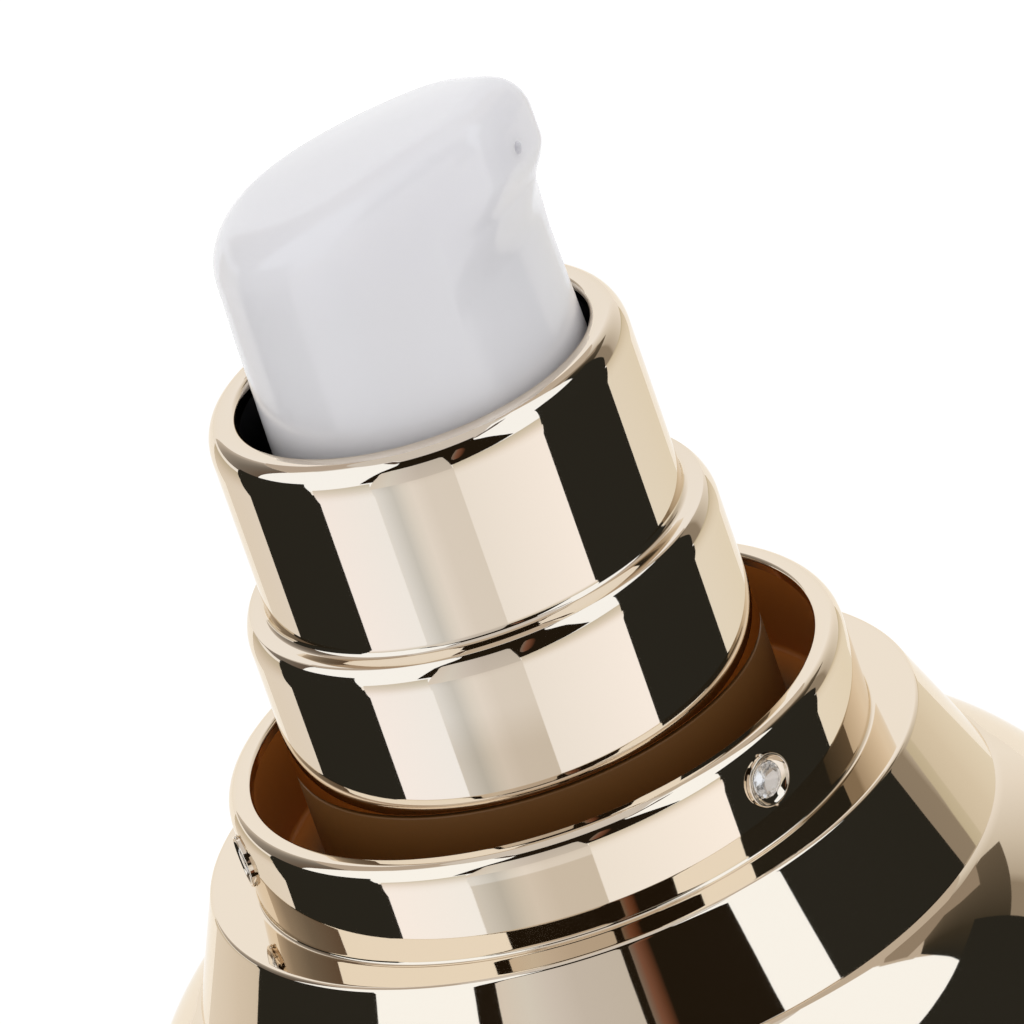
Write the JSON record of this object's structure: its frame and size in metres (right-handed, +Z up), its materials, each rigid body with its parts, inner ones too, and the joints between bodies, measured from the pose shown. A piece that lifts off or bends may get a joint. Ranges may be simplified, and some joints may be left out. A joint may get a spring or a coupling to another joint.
{
  "type": "pump oil bottle",
  "caption": "Round metallised bottle with a stone-set shoulder ring, stepped collar and a press-head pump over a plain liner.",
  "frame": {"origin": "centre of the foot ring on the surface that the bottle stands on", "axes": "+Z up along the bottle's axis, +X towards the nozzle at rest"},
  "size_m": [0.0502, 0.0502, 0.0905],
  "materials": {
    "gold_plastic": "vacuum-metallised champagne gold under clear lacquer, mirror-bright",
    "gold_aluminium": "bright-anodised champagne gold, mirror-bright",
    "natural_plastic": "natural translucent moulding, smooth",
    "head_plastic": "white moulded polypropylene, glossy",
    "white_plastic": "white moulding, smooth",
    "piston_plastic": "soft polyethylene, satin",
    "black_plastic": "black moulded polypropylene",
    "gasket_foam": "white polyethylene foam washer, matt",
    "spring_steel": "drawn stainless steel, bright",
    "stone_glass": "cut clear crystal"
  },
  "bodies": {
    "bottle": {"inner_bottle": "natural_plastic", "body_shell": "gold_plastic", "shoulder": "gold_plastic", "setting_1": "gold_plastic", "setting_2": "gold_plastic", "setting_3": "gold_plastic", "rhinestone_1": "stone_glass", "rhinestone_2": "stone_glass", "rhinestone_3": "stone_glass"},
    "pump_unit": {"pump_housing": "natural_plastic", "stem_guide": "white_plastic", "neck_gasket": "gasket_foam", "dip_tube": "natural_plastic", "return_spring": "spring_steel"},
    "closure": {"screw_closure": "black_plastic", "collar_sleeve": "gold_aluminium"},
    "piston": {"piston": "piston_plastic"},
    "head": {"actuator": "head_plastic", "stem": "white_plastic", "piston_rod": "white_plastic"},
    "ball": {"inlet_ball": "spring_steel"}
  },
  "joints": [
    {"name": "pump_lift", "type": "slide", "parent": "bottle", "child": "pump_unit", "axis": [0, 0, 1], "range_m": [0, 0.0048]},
    {"name": "closure_turn", "type": "hinge", "parent": "pump_unit", "child": "closure", "pos_m": [0, 0, 0.066], "axis": [0, 0, 1], "range_deg": [0, 545]},
    {"name": "pump_stroke", "type": "slide", "parent": "pump_unit", "child": "piston", "axis": [0, 0, -1], "range_m": [0, 0.0038], "stiffness_N_per_m": 1200, "springref_m": -0.003, "deforming": ["return_spring"]},
    {"name": "head_turn", "type": "hinge", "parent": "piston", "child": "head", "pos_m": [0, 0, 0.07], "axis": [0, 0, 1], "continuous": true},
    {"name": "ball_lift", "type": "slide", "parent": "pump_unit", "child": "ball", "axis": [0, 0, 1], "range_m": [0, 0.0012]}
  ],
  "couplings": [
    {"joint": "closure_turn", "follows": "pump_lift", "rad_per_m": 1979}
  ]
}
